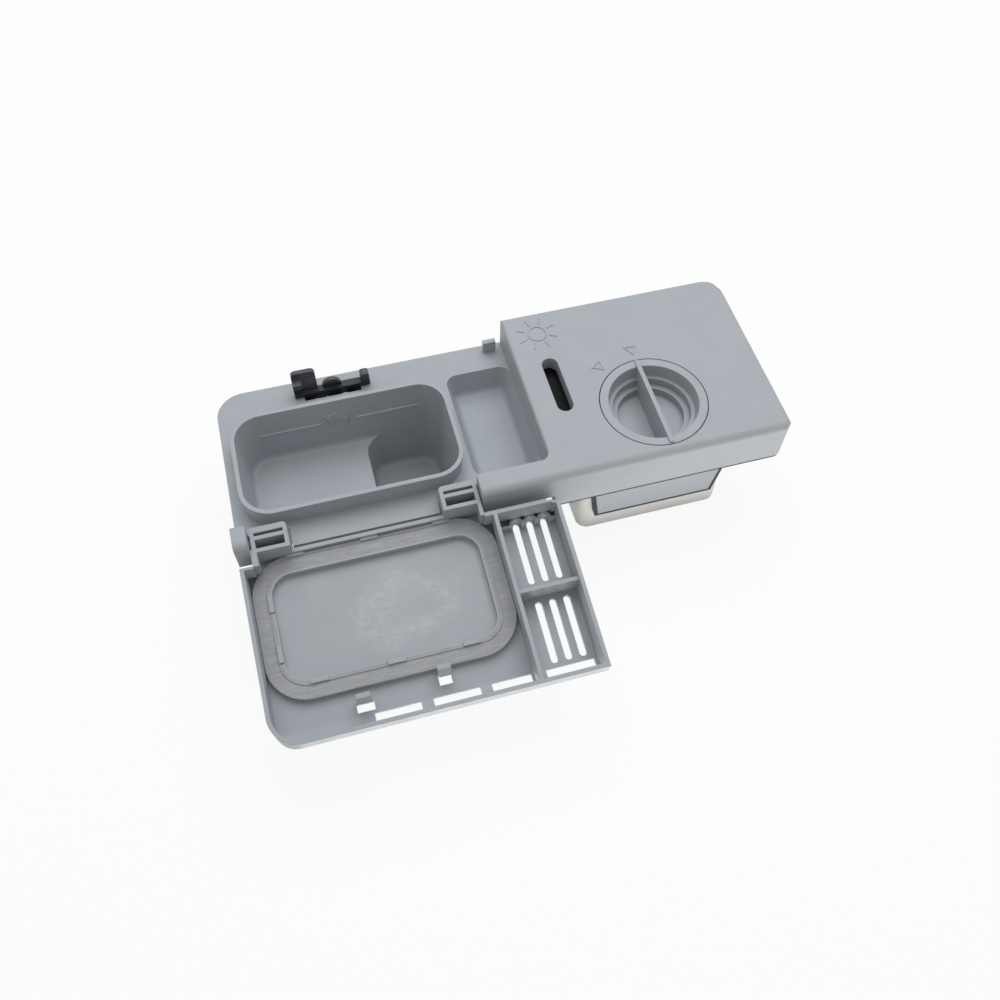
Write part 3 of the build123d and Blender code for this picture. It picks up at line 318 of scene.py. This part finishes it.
GREY = (0.385, 0.412, 0.440)
GREY_PALE = (0.415, 0.442, 0.468)
# Paler grey for painted highlights along edges and on raised marks
GREY_HIGHLIGHT = (0.54, 0.565, 0.59)
GREY_CHALK = (0.60, 0.62, 0.64)
RUBBER_GREY = (0.320, 0.320, 0.330)
RUBBER_PALE = (0.385, 0.385, 0.395)
# Pale rubber for the wiped streaks and for the painted highlight along edges
RUBBER_WEAR_AND_HIGHLIGHT = (0.50, 0.50, 0.505)
RUBBER_DARK = (0.20, 0.20, 0.205)
LATCH_BLACK = (0.007, 0.008, 0.012)
LATCH_DARK = (0.014, 0.015, 0.021)
# Painted sky reflection on the paddle and painted highlight along the latch's edges
LATCH_PADDLE_SHEEN = (0.075, 0.078, 0.088)
LATCH_EDGE_HIGHLIGHT = (0.085, 0.088, 0.098)
TANK_CREAM = (0.90, 0.89, 0.83)
TANK_PALE = (0.95, 0.945, 0.90)
TANK_GLOW_DEPTH = (0.004, 0.0035, 0.0025)
LENS_BLACK = (0.0015, 0.0015, 0.002)
LENS_DARK = (0.004, 0.004, 0.005)
ZINC_DULL = (0.50, 0.50, 0.49)
ZINC_BRIGHT = (0.64, 0.64, 0.63)
TAPE_DARK = (0.014, 0.050, 0.028)
TAPE_GREEN = (0.030, 0.085, 0.050)
NYLON = (0.66, 0.64, 0.58)
NYLON_PALE = (0.74, 0.72, 0.67)
SEAL_BLACK = (0.016, 0.016, 0.017)
SEAL_WORN = (0.032, 0.032, 0.034)


def satin_moulding(finish):
    """Colour of the blue-grey moulding, cloudy, with a painted highlight along its edges."""
    cloudy = finish.blend(finish.noise(45, 3), GREY, GREY_PALE)
    # Painted highlight along the edges, patchy by noise
    edge_highlight = finish.times(finish.edges(0.45), finish.spread(finish.noise(7, 4), 0.3, 0.6, 0.2, 0.6))
    return finish.blend(edge_highlight, cloudy, GREY_HIGHLIGHT)


def satin_surface(finish):
    """Sheen and fine spark-eroded grain of the moulding."""
    finish.roughness(finish.noise(9, 4), 0.42, 0.58)
    finish.grain(finish.noise(0.35, 2), 0.012, 0.35)
    return finish.settings(Specular_IOR_Level=0.4)


def satin_grey():
    finish = Finish("satin_grey_moulding")
    finish.colour(satin_moulding(finish))
    return satin_surface(finish)


def highlighted_mark_grey():
    """Raised marks in a paler grey, a painted highlight on their ridges."""
    finish = Finish("highlighted_mark_moulding")
    finish.colour(finish.blend(finish.noise(3, 4), GREY_PALE, GREY_HIGHLIGHT))
    return satin_surface(finish)


def scuffed_lid_grey():
    """The same moulding with the pale ring that tablets rub into the lid's pan."""
    finish = Finish("scuffed_lid_moulding")
    reach = finish.far_from(face_point(*SCUFF_CENTRE), SCUFF_SIZE)
    wobble = finish.spread(finish.noise(16, 3), *NOISE_SPAN, -0.25, 0.25)
    edge = finish.plus(reach, wobble)
    ring = finish.times(finish.spread(edge, 0.30, 0.80, 0.3, 1.0), finish.spread(edge, 1.15, 0.82))
    streaks = finish.spread(finish.noise(3.2, 6, (1, 1.8, 1), 0.68), 0.36, 0.64)
    inside = finish.times(finish.times(ring, streaks), finish.facing_up())
    chalk = finish.times(inside, 0.46)
    finish.colour(finish.blend(chalk, satin_moulding(finish), GREY_CHALK))
    return satin_surface(finish)


def grey_rubber():
    """Grey seal rubber with wiped streaks along the ring and a painted highlight along its edges."""
    finish = Finish("grey_gasket_rubber")
    rubber = finish.blend(finish.noise(14, 5), RUBBER_GREY, RUBBER_PALE)
    streaks = finish.spread(finish.noise(1.1, 6, (0.12, 1, 1), 0.7), 0.44, 0.66)
    specks = finish.spread(finish.noise(0.9, 4, rough=0.7), 0.58, 0.72)
    worn = finish.blend(finish.times(streaks, 0.55), rubber, RUBBER_WEAR_AND_HIGHLIGHT)
    # Painted highlight along the edges
    edge_highlighted = finish.blend(finish.times(finish.edges(0.5), 0.6), worn, RUBBER_WEAR_AND_HIGHLIGHT)
    finish.colour(finish.blend(finish.times(specks, 0.55), edge_highlighted, RUBBER_DARK))
    finish.roughness(finish.noise(5, 4), 0.5, 0.72)
    finish.grain(finish.noise(0.5, 3), 0.03, 0.4)
    return finish.settings(Specular_IOR_Level=0.35)


def dark_latch_plastic():
    """Blue-black plastic with a painted sky reflection on the thumb paddle and a painted highlight
    along its edges.
    """
    finish = Finish("dark_latch_plastic")
    dark = finish.blend(finish.noise(6, 4), LATCH_BLACK, LATCH_DARK)
    patchy = finish.spread(finish.noise(4, 4), 0.3, 0.6, 0.6, 1.0)
    # Painted sky reflection, paler from 3.4 to 6.4 mm up, patchy by noise
    paddle_sheen = finish.times(finish.height(3.4, 6.4), patchy)
    paddle = finish.blend(paddle_sheen, dark, LATCH_PADDLE_SHEEN)
    # Painted highlight along the edges
    finish.colour(finish.blend(finish.times(finish.edges(0.5), 0.45), paddle, LATCH_EDGE_HIGHLIGHT))
    finish.roughness(finish.noise(3, 4), 0.36, 0.52)
    finish.grain(finish.noise(0.3, 2), 0.012, 0.5)
    return finish.settings(Specular_IOR_Level=0.4)


def cream_tank():
    finish = Finish("natural_tank_plastic")
    finish.colour(finish.blend(finish.noise(30, 3), TANK_CREAM, TANK_PALE))
    finish.roughness(finish.noise(6, 3), 0.35, 0.5)
    finish.grain(finish.noise(0.8, 2), 0.01, 0.6)
    return finish.settings(Subsurface_Weight=0.25, Subsurface_Radius=TANK_GLOW_DEPTH)


def smoked_lens():
    """Nearly black lens, dulled by use so that it gives little back."""
    finish = Finish("smoked_window")
    finish.colour(finish.blend(finish.noise(8, 3), LENS_BLACK, LENS_DARK))
    finish.roughness(finish.noise(4, 3), 0.30, 0.42)
    finish.grain(finish.noise(2.5, 2), 0.004, 0.4)
    return finish.settings(Specular_IOR_Level=0.08)


def zinc_steel():
    finish = Finish("zinc_plated_steel")
    finish.colour(finish.blend(finish.noise(4, 5), ZINC_DULL, ZINC_BRIGHT))
    finish.roughness(finish.noise(2, 5, (1, 6, 1)), 0.26, 0.45)
    finish.grain(finish.noise(0.4, 3, (1, 8, 1)), 0.004, 0.2)
    return finish.settings(Metallic=1.0)


def taped_winding():
    finish = Finish("taped_winding")
    finish.colour(finish.blend(finish.noise(3, 4, (1, 8, 1)), TAPE_DARK, TAPE_GREEN))
    finish.roughness(finish.noise(2, 3), 0.3, 0.45)
    finish.grain(finish.noise(1.2, 3, (0.3, 6, 0.3)), 0.06, 0.2)
    return finish.settings(Specular_IOR_Level=0.5)


def white_nylon():
    finish = Finish("white_nylon")
    finish.colour(finish.blend(finish.noise(6, 3), NYLON, NYLON_PALE))
    finish.roughness(finish.noise(3, 3), 0.4, 0.55)
    finish.grain(finish.noise(0.5, 2), 0.01, 0.3)
    return finish.settings(Specular_IOR_Level=0.4)


def black_rubber():
    finish = Finish("black_seal_rubber")
    finish.colour(finish.blend(finish.noise(5, 4), SEAL_BLACK, SEAL_WORN))
    finish.roughness(finish.noise(3, 4), 0.5, 0.7)
    finish.grain(finish.noise(0.4, 3), 0.02, 0.3)
    return finish.settings(Specular_IOR_Level=0.35)


FINISHES = {
    "grey_plastic": satin_grey(),
    "gasket_rubber": grey_rubber(),
    "black_plastic": dark_latch_plastic(),
    "tank_plastic": cream_tank(),
    "smoked_window": smoked_lens(),
    "steel": zinc_steel(),
    "winding": taped_winding(),
    "bobbin": white_nylon(),
    "black_rubber": black_rubber(),
}
# Paler finish of the level marks: painted highlight on their ridges
HIGHLIGHTED_MARK = highlighted_mark_grey()


def finish_cad_nodes():
    """Every CAD piece takes the finish of its slot in the record, and the lid its own worn one."""
    for part in frame["record"]["subparts"]:
        node = frame["nodes"][part["node"]]
        node.data.materials.clear()
        node.data.materials.append(FINISHES[part["material_slot"]])
    frame["nodes"]["lid"].data.materials[0] = scuffed_lid_grey()


def finished(piece, name, body, slot, look=None):
    """Names a new piece, gives it its finish and lets it ride on a body."""
    place_in_mesh(piece)
    piece.name = name
    piece.data.name = name
    piece.data.materials.clear()
    piece.data.materials.append(look or FINISHES[slot])
    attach(piece, body)
    return piece


# Moulded marks

def raised_line(low, high, rise):
    """Slim moulded bar lying on its face, with softened top edges."""
    bpy.ops.mesh.primitive_cube_add(size=1.0)
    bar = bpy.context.object
    bar.scale = ((high[0] - low[0]) * MM, (high[1] - low[1]) * MM, rise * MM)
    bar.location = ((high[0] + low[0]) / 2 * MM, (high[1] + low[1]) / 2 * MM, rise / 2 * MM)
    place_in_mesh(bar)
    start_picking("EDGE")
    for edge in bar.data.edges:
        edge.select = all(bar.data.vertices[i].co.z > rise / 2 * MM for i in edge.vertices)
    bpy.ops.object.mode_set(mode="EDIT")
    bpy.ops.mesh.bevel(offset=rise * MARK_SOFTENING * MM, segments=2)
    bpy.ops.object.mode_set(mode="OBJECT")
    return bar


def outline_mark(points, radius, line, rise):
    """Raised outline of a regular figure, made from a filled circle of few points."""
    bpy.ops.mesh.primitive_circle_add(vertices=points, radius=radius * MM, fill_type="NGON")
    mark = bpy.context.object
    bpy.ops.object.mode_set(mode="EDIT")
    bpy.ops.mesh.select_mode(type="FACE")
    bpy.ops.mesh.select_all(action="SELECT")
    bpy.ops.mesh.inset(thickness=line * MM, depth=0)
    bpy.ops.mesh.delete(type="FACE")
    bpy.ops.mesh.select_all(action="SELECT")
    bpy.ops.mesh.extrude_region_move(TRANSFORM_OT_translate={"value": (0, 0, rise * MM)})
    bpy.ops.mesh.select_all(action="SELECT")
    bpy.ops.mesh.normals_make_consistent(inside=False)
    bpy.ops.object.mode_set(mode="OBJECT")
    return mark


def pointer_mark(name, place, turn):
    nothing_selected()
    mark = outline_mark(3, MARK_R, MARK_LINE, MARK_RISE)
    mark.rotation_euler.z = turn
    mark.location = face_point(*place, BLOCK_TOP)
    return finished(mark, name, "body", "grey_plastic")


def sun_mark():
    """Sign of the rinse aid: a disc's outline with rays round it."""
    nothing_selected()
    disc = outline_mark(SUN_DISC_POINTS, SUN_DISC_R, MARK_LINE, MARK_RISE)
    rays = []
    for step in range(SUN_RAYS):
        nothing_selected()
        ray = raised_line((SUN_RAY[0], -MARK_LINE / 2), (SUN_RAY[1], MARK_LINE / 2), MARK_RISE)
        ray.rotation_euler.z = 2 * math.pi * (step + 0.5) / SUN_RAYS
        rays.append(place_in_mesh(ray))
    only(disc)
    for ray in rays:
        ray.select_set(True)
    bpy.ops.object.join()
    disc.location = face_point(*SUN_CENTRE, BLOCK_TOP)
    return finished(disc, "sun_mark", "body", "grey_plastic")


def on_cup_wall(piece, x, z):
    """Stands a flat piece on the cup's drafted back wall, facing the hinge side."""
    y = CUP_BACK_WALL - (CUP_RIM - z) * math.tan(CUP_DRAFT)
    piece.rotation_euler = (math.pi / 2 - CUP_DRAFT, 0, 0)
    piece.location = face_point(x, y, z)


def level_lines():
    for name, (x0, x1) in zip(("level_line_left", "level_line_right"), LEVEL_LINES):
        nothing_selected()
        line = raised_line((0, -LEVEL_LINE_W / 2), (x1 - x0, LEVEL_LINE_W / 2), WALL_MARK_RISE)
        on_cup_wall(line, x0, LEVEL_HEIGHT)
        finished(line, name, "body", "grey_plastic", HIGHLIGHTED_MARK)


def level_letters():
    """Outlined letters of the level mark, between its two lines."""
    nothing_selected()
    bpy.ops.object.text_add()
    letters = bpy.context.object
    letters.data.body = "MIN"
    letters.data.align_x = "CENTER"
    letters.data.align_y = "CENTER"
    letters.data.size = LETTER_HEIGHT * MM
    letters.data.fill_mode = "NONE"
    letters.data.bevel_depth = LETTER_LINE * MM
    letters.data.bevel_resolution = 1
    bpy.ops.object.convert(target="MESH")
    letters = bpy.context.object
    wide, tall, _ = letters.dimensions
    letters.scale = ((LETTERS_X[1] - LETTERS_X[0]) * MM / wide, LETTER_HEIGHT * MM / tall, 1)
    on_cup_wall(letters, sum(LETTERS_X) / 2, LEVEL_HEIGHT)
    finished(letters, "level_letters", "body", "grey_plastic", HIGHLIGHTED_MARK)


# Small pieces

def slot_shade_flap(name, low, high):
    """Thin black rubber tray under the plate, painted shade in part of the latch's slot."""
    nothing_selected()
    bpy.ops.mesh.primitive_cube_add(size=1.0)
    flap = bpy.context.object
    flap.scale = (high - low) * MM
    flap.location = face_point(*((low + high) / 2))
    place_in_mesh(flap)
    top = max(vertex.co.z for vertex in flap.data.vertices)
    start_picking("EDGE")
    for edge in flap.data.edges:
        heights = [flap.data.vertices[i].co.z for i in edge.vertices]
        edge.select = abs(heights[0] - heights[1]) > HAIR
    bpy.ops.object.mode_set(mode="EDIT")
    bpy.ops.mesh.bevel(offset=FLAP_CORNER * MM, segments=3)
    start_picking("FACE")
    for face in flap.data.polygons:
        face.select = face.normal.z > 0.9 and face.center.z > top - HAIR
    bpy.ops.object.mode_set(mode="EDIT")
    bpy.ops.mesh.inset(thickness=FLAP_LIP * MM, depth=-FLAP_DISH * MM)
    bpy.ops.object.mode_set(mode="OBJECT")
    return finished(flap, name, "body", "black_rubber")


def slot_shade_flaps():
    for step, (x0, x1) in enumerate(FLAP_X):
        low = Vector((x0, FLAP_Y[0], FLAP_Z[0]))
        high = Vector((x1, FLAP_Y[1], FLAP_Z[1]))
        slot_shade_flap(f"slot_shade_flap_{step + 1}", low, high)


def corner_shell():
    """Upright shell, thickened inwards, behind the block's round back corner."""
    nothing_selected()
    reach = CORNER_SHELL_OUT / math.sqrt(2)
    middle = face_point(CORNER_CENTRE[0] + reach, CORNER_CENTRE[1] + reach, CORNER_SHELL_Z[0])
    bpy.ops.mesh.primitive_circle_add(
        vertices=CORNER_SHELL_POINTS, radius=CORNER_SHELL_R * MM, location=middle)
    shell = place_in_mesh(bpy.context.object)
    start_picking("VERT")
    for vertex in shell.data.vertices:
        out = vertex.co - middle
        vertex.select = abs(math.atan2(out.y, out.x) - math.pi / 4) > CORNER_SHELL_ARC
    bpy.ops.object.mode_set(mode="EDIT")
    bpy.ops.mesh.delete(type="VERT")
    bpy.ops.mesh.select_all(action="SELECT")
    rise = (CORNER_SHELL_Z[1] - CORNER_SHELL_Z[0]) * MM
    bpy.ops.mesh.extrude_region_move(TRANSFORM_OT_translate={"value": (0, 0, rise)})
    bpy.ops.mesh.select_all(action="SELECT")
    bpy.ops.mesh.normals_make_consistent(inside=False)
    bpy.ops.object.mode_set(mode="OBJECT")
    facing = shell.data.polygons[0]
    if facing.normal.dot(facing.center - middle) < 0:
        bpy.ops.object.mode_set(mode="EDIT")
        bpy.ops.mesh.flip_normals()
        bpy.ops.object.mode_set(mode="OBJECT")
    wall = shell.modifiers.new("wall", "SOLIDIFY")
    wall.thickness = CORNER_SHELL_T * MM
    wall.offset = -1
    bpy.ops.object.modifier_apply(modifier="wall")
    bpy.ops.object.shade_smooth_by_angle(angle=SMOOTH_ANGLE)
    return finished(shell, "corner_shell", "body", "grey_plastic")


def pressed_valve_spring():
    """The dosing valve's spring, copied with its doubled points merged, riding on the body in place of
    the CAD piece.
    """
    coil = frame["nodes"]["valve_spring"].data.copy()
    spring = bpy.data.objects.new("pressed_valve_spring", coil)
    bpy.context.scene.collection.objects.link(spring)
    only(spring)
    bpy.ops.object.mode_set(mode="EDIT")
    bpy.ops.mesh.select_all(action="SELECT")
    bpy.ops.mesh.remove_doubles(threshold=MERGE_DISTANCE)
    bpy.ops.object.mode_set(mode="OBJECT")
    finished(spring, "pressed_valve_spring", "body", "steel")
    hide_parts("valve_spring")
    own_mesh(spring)
    return spring


# Stage, light and camera

def seen_rays(tree, ray):
    """Full for rays that show the ground to the eye: straight, mirrored or through the window."""
    share = ray.outputs["Is Camera Ray"]
    for kind in ("Is Glossy Ray", "Is Transmission Ray"):
        larger = tree.nodes.new("ShaderNodeMath")
        larger.operation = "MAXIMUM"
        tree.links.new(share, larger.inputs[0])
        tree.links.new(ray.outputs[kind], larger.inputs[1])
        share = larger.outputs[0]
    return share


def floor():
    """White sweep that glows a little to the eye, so it stays white and keeps a soft shadow."""
    nothing_selected()
    bpy.ops.mesh.primitive_plane_add(size=FLOOR_SIZE, location=(0, 0, cad_low.z))
    ground = bpy.context.object
    ground.name = "studio_floor"
    finish = Finish("studio_floor_white")
    finish.settings(Base_Color=FLOOR_WHITE, Roughness=0.9, Specular_IOR_Level=0.1)
    ray = finish.add("ShaderNodeLightPath")
    glow = finish.add("ShaderNodeEmission")
    glow.inputs["Color"].default_value = WHITE
    glow.inputs["Strength"].default_value = 1.0
    both = finish.add("ShaderNodeMixShader")
    finish.join(finish.times(seen_rays(finish.tree, ray), FLOOR_GLOW), both.inputs[0])
    finish.join(finish.shader.outputs[0], both.inputs[1])
    finish.join(glow.outputs[0], both.inputs[2])
    finish.join(both.outputs[0], finish.output.inputs[0])
    ground.data.materials.append(finish.material)


def studio_world():
    world = bpy.data.worlds.new("studio_world")
    bpy.context.scene.world = world
    world.use_nodes = True
    tree = world.node_tree
    back = tree.nodes["Background"]
    ray = tree.nodes.new("ShaderNodeLightPath")
    level = tree.nodes.new("ShaderNodeMapRange")
    level.inputs["To Min"].default_value = SKY_LEVEL
    level.inputs["To Max"].default_value = SKY_SEEN
    tree.links.new(seen_rays(tree, ray), level.inputs["Value"])
    tree.links.new(level.outputs["Result"], back.inputs["Strength"])
    back.inputs["Color"].default_value = WHITE


def softbox(name, place, aim, size, power, tint):
    lamp = bpy.data.lights.new(name, "AREA")
    lamp.shape = "RECTANGLE"
    lamp.size, lamp.size_y = size
    lamp.energy = power
    lamp.color = tint
    box = bpy.data.objects.new(name, lamp)
    bpy.context.scene.collection.objects.link(box)
    box.location = place
    box.rotation_euler = (Vector(aim) - Vector(place)).to_track_quat("-Z", "Y").to_euler()
    box.visible_camera = False


def photo_camera():
    camera = bpy.data.objects.new("photo_camera", bpy.data.cameras.new("photo_camera"))
    bpy.context.scene.collection.objects.link(camera)
    camera.data.lens = LENS
    camera.data.sensor_width = SENSOR
    camera.data.clip_start = NEAREST_SEEN
    right = CAMERA_RIGHT.normalized()
    back = right.cross(CAMERA_UP).normalized()
    up = back.cross(right)
    turn = Matrix((right, up, back)).transposed().to_4x4()
    camera.matrix_world = Matrix.Translation(CAMERA_PLACE) @ turn
    bpy.context.scene.camera = camera


finish_cad_nodes()
pointer_mark("closed_mark", CLOSED_MARK, CLOSED_MARK_TURN)
pointer_mark("open_mark", OPEN_MARK, OPEN_MARK_TURN)
sun_mark()
level_lines()
level_letters()
slot_shade_flaps()
corner_shell()
pressed_valve_spring()
floor()
studio_world()
softbox("back_softbox", **BACK_SOFTBOX)
softbox("floor_card", **FLOOR_CARD)
photo_camera()
bpy.context.scene.view_settings.view_transform = "Standard"
